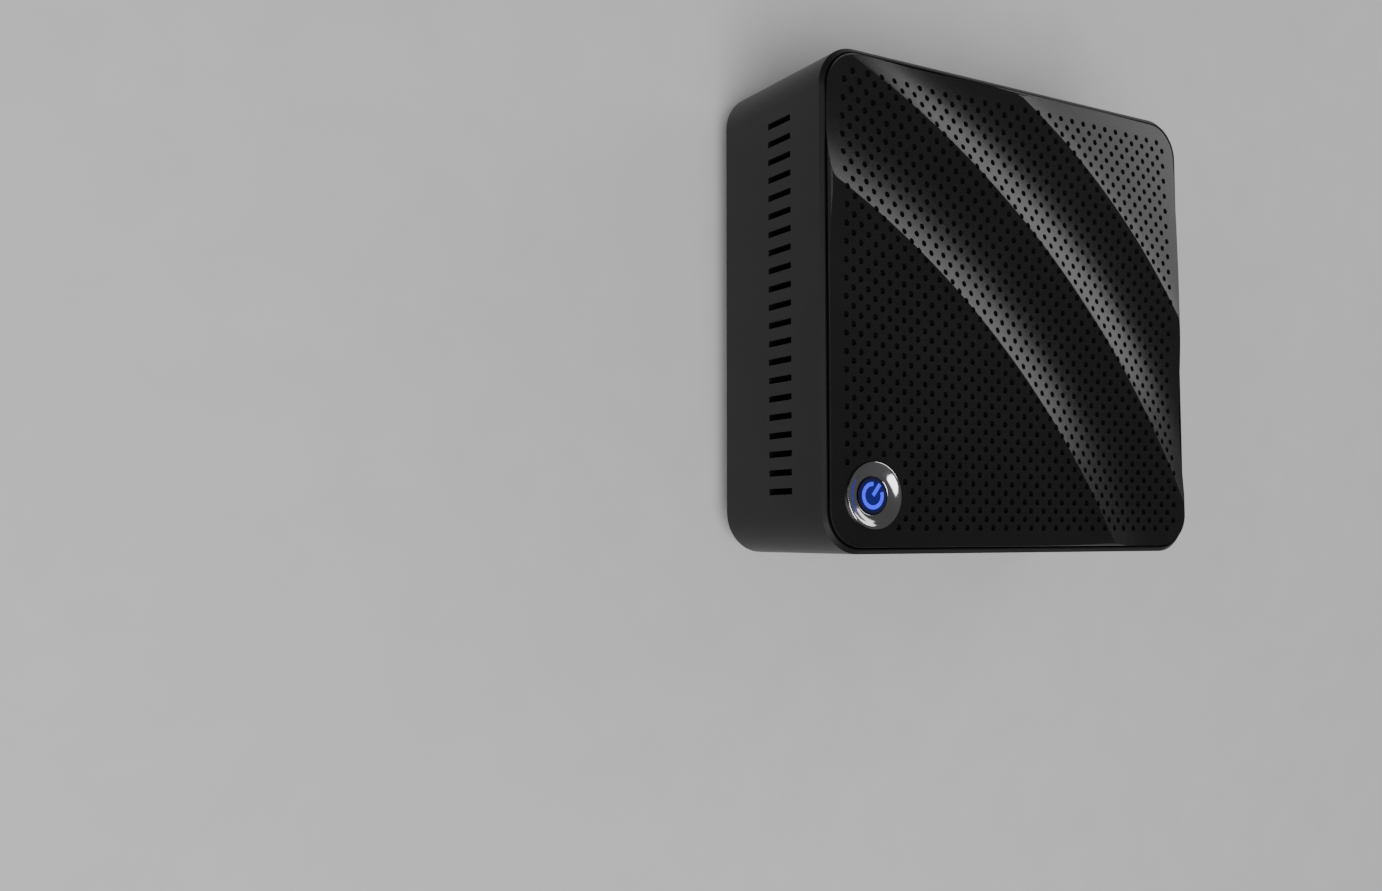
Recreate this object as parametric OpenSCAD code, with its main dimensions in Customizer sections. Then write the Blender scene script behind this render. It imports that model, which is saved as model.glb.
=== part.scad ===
// Small square mini computer: plastic body ring, fluted top cover, pressed steel bottom,
// one round power button, and everything that works inside.
// Millimetres. +Z is up, +Y is the rear with the ports, the origin is on the floor under the middle.

/* [Body] */
// Width over the side walls
body_w = 115.6; // [110:0.2:140]
// Depth over the front and rear walls
body_d = 111.6; // [108:0.2:136]
// Height from the floor to the rim of the top cover
body_h = 45.9; // [45.9:0.1:60]
// Radius of the upright corners
corner_r = 9.5; // [7:0.5:11]
// Thickness of the side walls
wall = 1.8; // [1.5:0.1:2.2]
// Height of the sloped edge under the walls
undercut = 2.8; // [2:0.1:3.4]
// Distance from a wall face to the edge of the bottom opening
mouth_in = 4.8; // [4.5:0.1:4.9]
// Height of the bright bevel at the top of the walls
top_bevel = 0.8; // [0.4:0.1:0.9]
// Height that the rubber feet lift the body
foot_h = 3.0; // [2.4:0.1:4]
// Radius of one rubber foot
foot_r = 6.2; // [5:0.1:6.4]
// Distance from a wall to the middle of the nearest corner post
post_inset = 12.0; // [11.6:0.1:13]
// Radius of one corner post
post_r = 4.0; // [3.6:0.1:4.4]

/* [Top cover] */
// Distance from the outer wall face to the edge of the cover
cover_inset = 1.4; // [1.2:0.1:1.6]
// Height of the cover that stands above the walls
cover_rise = 1.7; // [1.4:0.1:2]
// Depth of the flutes below the rim
flute_depth = 1.6; // [0.8:0.1:1.8]
// Bevel of the upper edge of the cover
cover_edge = 1.5; // [0.5:0.1:1.6]

/* [Vents] */
// Width of one side slot
slot_w = 1.4; // [1:0.1:2]
// Height of one side slot
slot_h = 8.8; // [6:0.1:9.5]
// Height of the lower end of the side slots above the main board
slot_lift = 5.2; // [4.6:0.1:6]
// Spacing of the slots
slot_pitch = 4.2; // [3.6:0.1:4.2]
// Slots in each row
slot_count = 21; // [11:2:21]
// Height of one rear slot
rear_slot_h = 4.0; // [3:0.1:4.2]

/* [Power button] */
// Distance from the left wall to the middle of the button
button_in_x = 12.9; // [12.4:0.1:16]
// Distance from the front wall to the middle of the button
button_in_y = 12.7; // [12.4:0.1:16]
// Outer radius of the bright ring
ring_r = 7.4; // [6.8:0.1:8]
// Radius of the moving cap
cap_r = 4.05; // [3.4:0.05:4.2]
// Travel of the cap
cap_travel = 0.5; // [0.3:0.1:0.6]
// Middle radius of the ring of the power symbol
symbol_r = 2.55; // [2:0.05:2.7]
// Line width of the power symbol
symbol_line = 0.9; // [0.5:0.05:1]
// Turn of the power symbol
symbol_turn = -38; // [-90:1:90]

/* [Main board] */
// Clearance from the side walls to the board
board_gap_x = 5.2; // [4.8:0.1:6]
// Clearance from the front and rear walls to the board
board_gap_y = 3.2; // [3:0.1:4]
// Thickness of the board
board_t = 1.6; // [1.2:0.1:2]
// Space between the drive and the board
board_room = 5.0; // [5:0.1:7]
// Side of the heat sink
sink_w = 62; // [60:1:64]
// Height of the heat sink
sink_h = 10; // [8:0.5:10.5]
// Thickness of one heat sink fin
fin_t = 0.8; // [0.6:0.1:1.2]
// Spacing of the fins
fin_pitch = 3.0; // [2.6:0.1:4]
// Side of the fan frame
fan_w = 60; // [60:0.5:61]
// Height of the fan
fan_t = 8; // [7.5:0.1:8.5]
// Number of fan blades
blade_count = 7; // [5:1:9]

/* [Drive] */
// Length of the 2.5 inch drive
drive_l = 100; // [98:0.5:100.5]
// Width of the 2.5 inch drive
drive_w = 69.85; // [68:0.05:70]
// Height of the 2.5 inch drive
drive_h = 7.0; // [5:0.5:7]

/* [Ports] */
// Height of the front panel above its USB ports
front_panel_rim = 2.3; // [1.7:0.1:3.3]
// Distance from a rounded corner to the end of the front panel
front_panel_in = 4.3; // [3.3:0.1:8]
// Height of the rear panel above its tallest port
rear_panel_rim = 0.6; // [0.4:0.1:0.8]
// Distance from a rounded corner to the end of the rear panel
rear_panel_in = 1.3; // [1.3:0.1:2.3]
// Radius of the bore of the headphone socket
audio_r = 1.8; // [1.75:0.05:1.9]
// Radius of the bore of the power inlet
inlet_r = 3.1; // [2.9:0.05:3.2]
// Radius of the pin of the power inlet
inlet_pin_r = 1.25; // [1:0.05:1.25]
// Distance between the two bracket screws under the body
bracket_pitch = 88; // [80:1:88]
// Radius of the threaded holes for the bracket screws
bracket_screw_r = 1.25; // [1.2:0.05:1.6]

/* [Fits] */
// Gap between pieces that are fitted by hand
fit = 0.15; // [0.1:0.05:0.25]
// Gap in a thread
thread_gap = 0.05; // [0.03:0.01:0.1]
// Gap between the cover and the walls
cover_gap = 0.3; // [0.2:0.05:0.4]
// Running clearance of the fan shaft
shaft_gap = 0.05; // [0.02:0.01:0.09]
// Gap around the moving cap
cap_gap = 0.15; // [0.1:0.05:0.2]

/* [Hidden] */
$fn = 64;
eps = 0.01;
over = 1;

// Heights, from the floor up
shell_z0 = foot_h;
plate_t = 1.0;
plate_top = shell_z0 + plate_t;
tray_t = 0.8;
drive_z0 = plate_top + tray_t + 0.2;
drive_z1 = drive_z0 + drive_h;
board_z0 = drive_z1 + board_room;
board_z1 = board_z0 + board_t;
wall_top = body_h - cover_rise;
cover_lap = 2.0;
cover_z0 = wall_top - cover_lap;
cover_skin_z = cover_z0 + 0.8;
ledge_t = 1.2;
ledge_w = 1.5;

// Plan sizes
in_w = body_w - 2 * wall;
in_d = body_d - 2 * wall;
in_r = corner_r - wall;
mouth_w = body_w - 2 * mouth_in;
mouth_d = body_d - 2 * mouth_in;
mouth_r = corner_r - mouth_in;
cover_w = body_w - 2 * cover_inset;
cover_d = body_d - 2 * cover_inset;
cover_r = corner_r - cover_inset;
post_x = body_w / 2 - post_inset;
post_y = body_d / 2 - post_inset;
board_w = body_w - 2 * (wall + board_gap_x);
board_d = body_d - 2 * (wall + board_gap_y);
wall_y = body_d / 2 - wall;
port_y = body_d / 2 - 1.2;
panel_z0 = board_z1 - 1.2;
panel_lap = 0.8;
panel_flange_t = 0.8;

// Side slots, rear slots and lock slot
slot_z0 = board_z1 + slot_lift;
rear_slot_z0 = cover_z0 - ledge_t - 0.6 - rear_slot_h;
lock_y = 30;
lock_z = drive_z0 + 6;
lock_w = 7.0;
lock_h = 3.0;
lock_plate_t = 1.6;

// Circles that the three ridges of the cover follow: middle x, middle y, radius
ridge_arcs = [[-142.7, -152.3, 198.3], [-132.2, -142.4, 212.0], [-77.4, -89.0, 162.0]];
flute_span = [44, 40, 46];

// Power button
button_x = button_in_x - body_w / 2;
button_y = button_in_y - body_d / 2;
ring_barrel_r = ring_r - 0.8;
ring_seat_z = body_h - 1.1;
ring_top_z = body_h - 0.3;
cap_top_z = body_h - 1.2;
cap_flange_r = cap_r + 0.95;
cap_flange_z = body_h - 2.9;
cap_flange_t = 0.7;
stem_r = 1.7;
stem_z = body_h - 3.9;
switch_z1 = stem_z - 0.5;
switch_h = 3.5;
switch_w = 6.0;
switch_z0 = switch_z1 - switch_h;
plunger_z0 = stem_z - 1.7;
button_board_t = 1.2;
button_board_w = 16;
button_board_d = 13;
button_board_z = switch_z0 - button_board_t;
peg_x = 6.0;
peg_y = 3.5;
peg_r = 0.8;
peg_root_r = 1.6;
symbol_t = 0.6;
symbol_gap_angle = 34;

// Heat sink and fan
sink_x = -6;
sink_y = -2;
base_t = 3.0;
cpu_base_t = 0.8;
cpu_die_t = 0.6;
sink_z0 = board_z1 + cpu_base_t + cpu_die_t;
sink_z1 = sink_z0 + sink_h;
fan_z1 = sink_z1 + fan_t;
fan_hole = fan_w / 2 - 5;
fan_duct_r = fan_w / 2 - 1.5;
hub_r = 15;
hub_wall = 1.2;
shaft_r = 1.5;
fan_tube_r = 3.2;
blade_r = fan_duct_r - 0.9;
sink_screw_x = 27.5;
sink_screw_y = 9;

// Screws: M3 in the bottom, M2.5 on the board
m3_r = 1.45;
m3_head_r = 2.8;
m25_r = 1.15;
m25_head_r = 2.3;
insert_r = 2.1;
insert_h = 5.0;
bushing_r = 2.6;
bushing_h = 5.0;
bottom_screw_end = board_z0 - 6;
board_screw_end = board_z0 - 4.2;

// Drive and its tray
drive_x = -2.5;
drive_hole_a = 14.0;
drive_hole_b = 90.6;
drive_hole_z = 3.0;
plug_l = 5.0;
plug_w = 42;
plug_y = 4;
plug_x0 = drive_x + drive_l / 2;
plug_x1 = plug_x0 + plug_l;
lead_w = 12;
lead_t = 0.5;
lead_y = 18;
lead_x = max(board_w / 2 + 1, plug_x1) + 0.9;
lead_z = drive_z0 + 3;
lead_top = board_z1 + 3.4;
header_x = board_w / 2 - 2.5;
header_w = 4.0;

// Cards under the board
card_t = 0.8;
card_z = board_z0 - 2.4;
socket_gap = 0.8;
storage_x = -41.5;
storage_y = 3;
storage_l = 80;
wireless_x = -8;
wireless_y = 28;
wireless_l = 30;
memory_l = 67.6;
memory_d = 30;
memory_y = -44.4;
memory_t = 1.0;
memory_z = board_z0 - 2.9;

// Pieces that stand near the edges of the board
chip_x = board_w / 2 - 12.8;
choke_x = 6.8 - board_w / 2;
capacitor_y = 34.5;
cell_x = board_w / 2 - 12.3;
cell_y = -12;
cell_r = 10;
cell_lift = 0.8;
antenna_l = 30;
antenna_z0 = slot_z0 + slot_h + 1.2;
antenna_h = 5.0;
antenna_t = 0.6;
antenna_x = in_w / 2 - 0.1;

// Ports: middle positions along the walls
inlet_x = 7.3 - post_x;
video_x = [-21.5, -3.5];
lan_x = 16.5;
usb_stack_x = post_x - 9.8;
audio_x = -26;
front_usb_x = [-4, 16];
infrared_x = 34;
inlet_w = 9.2;
inlet_h = 11;
inlet_l = 14;
inlet_z = board_z1 + 6.0;
inlet_depth = 10;
inlet_ring_t = 0.9;
pin_root_r = inlet_pin_r + 0.5;
pin_root_l = 2;
pin_below = 1.0;
video_w = 14.6;
video_h = 5.3;
video_l = 11.5;
video_z = board_z1 + 0.6;
lan_w = 16;
lan_h = 13.4;
lan_l = 21;
lan_cavity_w = 11.8;
lan_cavity_h = 9.0;
lan_cavity_z = board_z1 + 1.4;
stack_w = 14.5;
stack_h = 15.6;
stack_l = 17.5;
stack_first = 1.5;
stack_step = 7.5;
usb_open_w = 12.5;
usb_open_h = 5.1;
usb_w = 13.3;
usb_h = 5.9;
usb_l = 14;
usb_z = board_z1 + 0.6;
tongue_w = 11.1;
tongue_t = 1.85;
tongue_drop = 2.7;
tongue_below = 1.5;
audio_w = 6.6;
audio_h = 5.6;
audio_l = 12;
audio_z = board_z1 + 3.0;
audio_ring_t = 1.0;
infrared_w = 8;
infrared_h = 4;
sheet = 0.4;
front_panel_h = usb_z + usb_h + front_panel_rim - panel_z0;
front_panel_w = body_w - 2 * (corner_r + front_panel_in);
rear_panel_h = board_z1 + stack_h + rear_panel_rim - panel_z0;
rear_panel_w = body_w - 2 * (corner_r + rear_panel_in);

module rounded_plan(w, d, r) {
    square([w - 2 * r, d], center = true);
    square([w, d - 2 * r], center = true);
    for (x = [-1, 1])
        for (y = [-1, 1])
            translate([x * (w / 2 - r), y * (d / 2 - r)])
                circle(r);
}

module rounded_block(w, d, r, z0, z1) {
    translate([0, 0, z0])
        linear_extrude(z1 - z0)
            rounded_plan(w, d, r);
}

// Rounded block whose upright edge is bevelled by low at the bottom and by high at the top
module bevelled_block(w, d, r, z0, z1, low, high) {
    profile_x = [
        [-w / 2 + low, z0], [w / 2 - low, z0], [w / 2, z0 + low], [w / 2, z1 - high],
        [w / 2 - high, z1], [-w / 2 + high, z1], [-w / 2, z1 - high], [-w / 2, z0 + low]
    ];
    profile_y = [
        [-d / 2 + low, z0], [d / 2 - low, z0], [d / 2, z0 + low], [d / 2, z1 - high],
        [d / 2 - high, z1], [-d / 2 + high, z1], [-d / 2, z1 - high], [-d / 2, z0 + low]
    ];
    translate([0, d / 2 - r, 0])
        rotate([90, 0, 0])
            linear_extrude(d - 2 * r)
                polygon(profile_x);
    translate([-w / 2 + r, 0, 0])
        rotate([90, 0, 90])
            linear_extrude(w - 2 * r)
                polygon(profile_y);
    for (x = [-1, 1])
        for (y = [-1, 1])
            translate([x * (w / 2 - r), y * (d / 2 - r), 0])
                rotate_extrude()
                    polygon([
                        [0, z0], [r - low, z0], [r, z0 + low], [r, z1 - high], [r - high, z1], [0, z1]
                    ]);
}

module at_posts() {
    for (x = [-1, 1])
        for (y = [-1, 1])
            translate([x * post_x, y * post_y, 0])
                children();
}

module box(x0, x1, y0, y1, z0, z1) {
    translate([x0, y0, z0])
        cube([x1 - x0, y1 - y0, z1 - z0]);
}

module centred_box(x, y, w, d, z0, z1) {
    box(x - w / 2, x + w / 2, y - d / 2, y + d / 2, z0, z1);
}

module upright(x, y, r, z0, z1) {
    translate([x, y, z0])
        cylinder(h = z1 - z0, r = r);
}

// Cylinder along Y from y0 to y1
module along_y(x, z, r, y0, y1) {
    translate([x, y0, z])
        rotate([-90, 0, 0])
            cylinder(h = y1 - y0, r = r);
}

module vent_row(along_x) {
    for (i = [0 : slot_count - 1]) {
        s = (i - (slot_count - 1) / 2) * slot_pitch;
        if (along_x)
            centred_box(s, body_d / 2, slot_w, 4 * wall, rear_slot_z0, rear_slot_z0 + rear_slot_h);
        else
            for (side = [-1, 1])
                centred_box(side * body_w / 2, s, 4 * wall, slot_w, slot_z0, slot_z0 + slot_h);
    }
}

module shell_ribs() {
    rib_t = 1.6;
    rib_top = board_z0 - 1.5;
    for (x = [-1, 1])
        for (y = [-1, 1]) {
            centred_box(x * (post_x + in_w / 2) / 2, y * post_y, in_w / 2 - post_x + 1, rib_t,
                plate_top, rib_top);
            centred_box(x * post_x, y * (post_y + in_d / 2) / 2, rib_t, in_d / 2 - post_y + 1,
                plate_top, rib_top);
        }
}

module body_shell() {
    color([0.07, 0.07, 0.08])
        difference() {
            union() {
                difference() {
                    bevelled_block(body_w, body_d, corner_r, shell_z0, wall_top, undercut, top_bevel);
                    rounded_block(in_w, in_d, in_r, shell_z0 + undercut, cover_z0);
                    rounded_block(mouth_w, mouth_d, mouth_r, shell_z0 - over, shell_z0 + undercut + eps);
                    rounded_block(cover_w + 2 * cover_gap, cover_d + 2 * cover_gap, cover_r + cover_gap,
                        cover_z0 - eps, wall_top + over);
                }
                difference() {
                    rounded_block(in_w + eps, in_d + eps, in_r, cover_z0 - ledge_t, cover_z0);
                    rounded_block(in_w - 2 * ledge_w, in_d - 2 * ledge_w, in_r - ledge_w,
                        cover_z0 - ledge_t - over, cover_z0 + over);
                }
                at_posts()
                    cylinder_between(post_r, plate_top, board_z0);
                shell_ribs();
            }
            at_posts() {
                cylinder_between(insert_r + thread_gap, plate_top - over, plate_top + insert_h + 0.4);
                cylinder_between(m3_r + 0.15, plate_top - over, bottom_screw_end + 0.8);
                cylinder_between(m25_r + thread_gap, board_screw_end - 0.4, board_z0 + over);
            }
            vent_row(false);
            vent_row(true);
            centred_box(0, -body_d / 2, front_panel_w, 4 * wall, panel_z0, panel_z0 + front_panel_h);
            centred_box(0, body_d / 2, rear_panel_w, 4 * wall, panel_z0, panel_z0 + rear_panel_h);
            centred_box(body_w / 2, lock_y, 4 * wall, lock_w, lock_z - lock_h / 2, lock_z + lock_h / 2);
        }
}

module cylinder_between(r, z0, z1) {
    translate([0, 0, z0])
        cylinder(h = z1 - z0, r = r);
}

// One flute: a shallow valley that follows the outside of a ridge
module flute(i) {
    c = ridge_arcs[i];
    near = 0.18 * flute_span[i];
    floor_z = body_h - flute_depth;
    ridge_z = body_h - 0.3;
    translate([c[0], c[1], 0])
        rotate_extrude($fn = 180)
            polygon([
                [c[2], ridge_z], [c[2] + near, floor_z + 0.15], [c[2] + 2 * near, floor_z],
                [c[2] + flute_span[i], ridge_z], [c[2] + flute_span[i], body_h + over],
                [c[2], body_h + over]
            ]);
}

module cover_hook(x, y, turn) {
    hook_w = 6;
    hook_t = 1.2;
    edge = (turn == 0 ? in_w : in_d) / 2 - ledge_w - 0.1;
    translate([x, y, 0])
        rotate([0, 0, turn])
            union() {
                box(edge - hook_t, edge, -hook_w / 2, hook_w / 2, cover_z0 - 2.6, cover_skin_z + 0.2);
                box(edge - hook_t, edge + 0.8, -hook_w / 2, hook_w / 2, cover_z0 - 2.6,
                    cover_z0 - ledge_t - 0.1);
            }
}

module top_cover() {
    rim_w = 2.2;
    color([0.09, 0.09, 0.1])
        difference() {
            union() {
                difference() {
                    bevelled_block(cover_w, cover_d, cover_r, cover_z0, body_h, 0.001, cover_edge);
                    rounded_block(cover_w - 2 * rim_w - 2, cover_d - 2 * rim_w - 2, cover_r - rim_w - 1,
                        cover_z0 - over, cover_skin_z);
                    flute(0);
                    flute(1);
                    flute(2);
                }
                for (y = [-34, 0, 34]) {
                    cover_hook(0, y, 0);
                    mirror([1, 0, 0])
                        cover_hook(0, y, 0);
                }
                for (x = [-peg_x, peg_x]) {
                    upright(button_x + x, button_y + peg_y, peg_root_r, button_board_z + button_board_t,
                        cover_skin_z + 0.2);
                    upright(button_x + x, button_y + peg_y, peg_r, button_board_z - 0.4,
                        cover_skin_z + 0.2);
                }
            }
            upright(button_x, button_y, ring_barrel_r + fit / 3, cover_z0 - over, body_h + over);
            upright(button_x, button_y, ring_r + fit / 3, ring_seat_z, body_h + over);
        }
}

module panel(w, h, side) {
    body_t = wall - 0.3;
    mirror([0, side < 0 ? 1 : 0, 0])
        union() {
            box(-w / 2 + fit, w / 2 - fit, wall_y - fit / 2, wall_y + body_t, panel_z0 + fit,
                panel_z0 + h - fit);
            box(-w / 2 - panel_lap, w / 2 + panel_lap, wall_y - fit / 2 - panel_flange_t,
                wall_y - fit / 2, panel_z0 - panel_lap, panel_z0 + h + panel_lap);
        }
}

module front_panel() {
    color([0.03, 0.03, 0.035])
        difference() {
            panel(front_panel_w, front_panel_h, -1);
            for (x = front_usb_x)
                centred_box(x, -body_d / 2, usb_w + 2 * fit, 8 * wall, usb_z - fit, usb_z + usb_h + fit);
            along_y(audio_x, audio_z, audio_r + audio_ring_t + fit, -body_d / 2 - over,
                -wall_y + 2 * wall);
            centred_box(infrared_x, -body_d / 2, infrared_w + 2 * fit, 8 * wall,
                audio_z - infrared_h / 2 - fit, audio_z + infrared_h / 2 + fit);
        }
}

module infrared_window() {
    color([0.16, 0.03, 0.05])
        union() {
            centred_box(infrared_x, -wall_y - (wall - 1.35) / 2, infrared_w, wall + 0.65,
                audio_z - infrared_h / 2, audio_z + infrared_h / 2);
            centred_box(infrared_x, -wall_y + 1.6, infrared_w + 2.4, 1.2, audio_z - infrared_h / 2 - 1,
                audio_z + infrared_h / 2 + 1);
        }
}

module rear_panel() {
    color([0.03, 0.03, 0.035])
        difference() {
            panel(rear_panel_w, rear_panel_h, 1);
            for (x = video_x)
                centred_box(x, body_d / 2, video_w + 2 * fit, 8 * wall, video_z - fit,
                    video_z + video_h + fit);
            centred_box(lan_x, body_d / 2, lan_w + 2 * fit, 8 * wall, board_z1 - fit,
                board_z1 + lan_h + fit);
            centred_box(usb_stack_x, body_d / 2, stack_w + 2 * fit, 8 * wall, board_z1 - fit,
                board_z1 + stack_h + fit);
            along_y(inlet_x, inlet_z, inlet_r + inlet_ring_t + fit, wall_y - 2 * wall,
                body_d / 2 + over);
        }
}

module bottom_plate() {
    stiffener = 2.4;
    color([0.06, 0.06, 0.065])
        difference() {
            union() {
                rounded_block(mouth_w - 2 * fit, mouth_d - 2 * fit, mouth_r - fit, shell_z0, plate_top);
                for (y = [-1, 1])
                    centred_box(0, y * (mouth_d / 2 - 3), 2 * post_x - 2 * post_r - 4, plate_t,
                        plate_top - eps, plate_top + stiffener);
            }
            at_posts()
                cylinder_between(m3_r + 0.2, shell_z0 - over, plate_top + over);
            for (y = [-1, 1])
                upright(0, y * bracket_pitch / 2, bushing_r, shell_z0 - over, plate_top + over);
            for (i = [-4 : 4])
                for (y = [-1, 1])
                    centred_box(i * 7, y * (drive_w / 2 + 3.6), 3.6, 1.4, shell_z0 - over,
                        plate_top + over);
        }
}

module bracket_bushings() {
    color([0.75, 0.62, 0.32])
        for (y = [-1, 1])
            translate([0, y * bracket_pitch / 2, 0])
                difference() {
                    union() {
                        cylinder_between(bushing_r - thread_gap, shell_z0, shell_z0 + bushing_h);
                        cylinder_between(bushing_r + 0.7, plate_top, plate_top + 0.8);
                    }
                    cylinder_between(bracket_screw_r, shell_z0 - over, shell_z0 + bushing_h + over);
                }
}

module rubber_feet() {
    color([0.05, 0.05, 0.05])
        at_posts()
            difference() {
                rotate_extrude()
                    polygon([
                        [0, 0], [foot_r - 1.0, 0], [foot_r - 0.5, 0.25], [foot_r, foot_h], [0, foot_h]
                    ]);
                cylinder_between(m3_head_r + 0.35, -over, foot_h + over);
            }
}

module screw(head_r, head_h, shaft_r, z_seat, z_end, up) {
    recess_r = head_r * 0.45;
    recess_h = head_h * 0.6;
    difference() {
        union() {
            if (up)
                cylinder_between(head_r, z_seat, z_seat + head_h);
            else
                cylinder_between(head_r, z_seat - head_h, z_seat);
            if (up)
                cylinder_between(shaft_r, z_end, z_seat);
            else
                cylinder_between(shaft_r, z_seat, z_end);
        }
        for (turn = [0, 90])
            rotate([0, 0, turn])
                centred_box(0, 0, 2 * recess_r, recess_r * 0.5,
                    up ? z_seat + head_h - recess_h : z_seat - head_h - over,
                    up ? z_seat + head_h + over : z_seat - head_h + recess_h);
    }
}

module bottom_screws() {
    color([0.35, 0.35, 0.37])
        at_posts()
            screw(m3_head_r, foot_h - 1.2, m3_r, shell_z0, bottom_screw_end, false);
}

module corner_inserts() {
    color([0.75, 0.62, 0.32])
        at_posts()
            difference() {
                cylinder_between(insert_r, plate_top + 0.3, plate_top + 0.3 + insert_h);
                cylinder_between(m3_r + thread_gap, plate_top - over, plate_top + 1 + insert_h);
            }
}

module lock_plate() {
    plate_x = body_w / 2 - wall - 0.05;
    color([0.55, 0.56, 0.58])
        difference() {
            centred_box(plate_x - lock_plate_t / 2, lock_y, lock_plate_t, 2 * lock_w + 2,
                lock_z - 1.5 * lock_h, lock_z + 1.5 * lock_h);
            centred_box(plate_x, lock_y, 8, lock_w, lock_z - lock_h / 2, lock_z + lock_h / 2);
        }
}

module button_ring() {
    inner_r = cap_r + cap_gap;
    dish_z = body_h - 1.35;
    color([0.82, 0.83, 0.85])
        translate([button_x, button_y, 0])
            rotate_extrude($fn = 96)
                polygon([
                    [ring_barrel_r, cover_skin_z], [ring_barrel_r, ring_seat_z], [ring_r, ring_seat_z],
                    [ring_r, ring_top_z - 0.25], [ring_r - 0.25, ring_top_z],
                    [ring_r - 0.55, ring_top_z - 0.05], [ring_r - 1.2, dish_z + 0.55],
                    [ring_r - 2.0, dish_z + 0.22], [inner_r + 0.5, dish_z + 0.05],
                    [inner_r, dish_z], [inner_r, cap_flange_z + cap_flange_t + 0.1],
                    [cap_flange_r + cap_gap, cap_flange_z + cap_flange_t + 0.1],
                    [cap_flange_r + cap_gap, cover_skin_z]
                ]);
}

module symbol_plan(grow) {
    rotate(symbol_turn) {
        difference() {
            circle(symbol_r + symbol_line / 2 + grow);
            circle(symbol_r - symbol_line / 2 - grow);
            polygon([
                [0, 0], [-6 * tan(symbol_gap_angle), 6], [6 * tan(symbol_gap_angle), 6]
            ]);
        }
        translate([0, symbol_r / 2 + 0.35])
            square([symbol_line + 2 * grow, symbol_r + 0.6 + 2 * grow], center = true);
    }
}

module power_button() {
    color([0.05, 0.05, 0.06])
        translate([button_x, button_y, 0])
            difference() {
                union() {
                    cylinder_between(cap_r, cap_flange_z, cap_top_z);
                    cylinder_between(cap_flange_r, cap_flange_z, cap_flange_z + cap_flange_t);
                    cylinder_between(stem_r, stem_z, cap_flange_z + eps);
                }
                translate([0, 0, cap_top_z - symbol_t])
                    linear_extrude(symbol_t + over)
                        symbol_plan(0.03);
            }
}

module button_symbol() {
    color([0.2, 0.3, 1.0])
        translate([button_x, button_y, cap_top_z - symbol_t])
            linear_extrude(symbol_t + 0.02)
                symbol_plan(0);
}

module switch_body() {
    color([0.12, 0.12, 0.13])
        difference() {
            centred_box(button_x, button_y, switch_w, switch_w, switch_z0, switch_z1);
            upright(button_x, button_y, stem_r + 0.1, plunger_z0 - cap_travel - 0.1, switch_z1 + over);
        }
}

module switch_plunger() {
    color([0.7, 0.7, 0.68])
        upright(button_x, button_y, stem_r, plunger_z0, stem_z);
}

module button_board() {
    color([0.05, 0.25, 0.16])
        difference() {
            centred_box(button_x, button_y, button_board_w, button_board_d, button_board_z,
                button_board_z + button_board_t);
            for (x = [-peg_x, peg_x])
                upright(button_x + x, button_y + peg_y, peg_r + thread_gap, button_board_z - over,
                    button_board_z + button_board_t + over);
        }
}

module main_board() {
    color([0.05, 0.25, 0.16])
        difference() {
            centred_box(0, 0, board_w, board_d, board_z0, board_z1);
            at_posts()
                cylinder_between(m25_r + 0.15, board_z0 - over, board_z1 + over);
            for (x = [-1, 1])
                for (y = [-1, 1])
                    upright(sink_x + x * sink_screw_x, sink_y + y * sink_screw_y, m25_r + thread_gap,
                        board_z0 - over, board_z1 + over);
        }
}

module board_screws() {
    color([0.6, 0.6, 0.62])
        at_posts()
            screw(m25_head_r, 1.4, m25_r, board_z1, board_screw_end, true);
}

module processor_base() {
    color([0.1, 0.35, 0.22])
        centred_box(sink_x, sink_y, 25, 27, board_z1, board_z1 + cpu_base_t);
}

module processor_die() {
    color([0.45, 0.46, 0.5])
        centred_box(sink_x, sink_y, 9, 12, board_z1 + cpu_base_t, sink_z0);
}

module heat_sink() {
    fin_count = floor((sink_w - fin_t) / fin_pitch);
    fan_post_r = 3.0;
    color([0.72, 0.73, 0.75])
        translate([sink_x, sink_y, 0])
            difference() {
                union() {
                    centred_box(0, 0, sink_w, sink_w, sink_z0, sink_z0 + base_t);
                    difference() {
                        for (i = [0 : fin_count])
                            centred_box((i - fin_count / 2) * fin_pitch, 0, fin_t, sink_w,
                                sink_z0 + base_t - eps, sink_z1);
                        for (x = [-1, 1])
                            for (y = [-1, 1])
                                upright(x * sink_screw_x, y * sink_screw_y, m25_head_r + 0.9,
                                    sink_z0 + base_t, sink_z1 + over);
                    }
                    for (x = [-1, 1])
                        for (y = [-1, 1])
                            upright(x * fan_hole, y * fan_hole, fan_post_r, sink_z0 + base_t - eps,
                                sink_z1);
                }
                for (x = [-1, 1])
                    for (y = [-1, 1]) {
                        upright(x * sink_screw_x, y * sink_screw_y, m25_r + 0.2, sink_z0 - over,
                            sink_z0 + base_t + over);
                        upright(x * fan_hole, y * fan_hole, m3_r + thread_gap, sink_z1 - 5,
                            sink_z1 + over);
                    }
            }
}

module heat_sink_screws() {
    color([0.6, 0.6, 0.62])
        for (x = [-1, 1])
            for (y = [-1, 1])
                translate([sink_x + x * sink_screw_x, sink_y + y * sink_screw_y, 0])
                    screw(m25_head_r, 1.6, m25_r, sink_z0 + base_t, board_z0, true);
}

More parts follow.
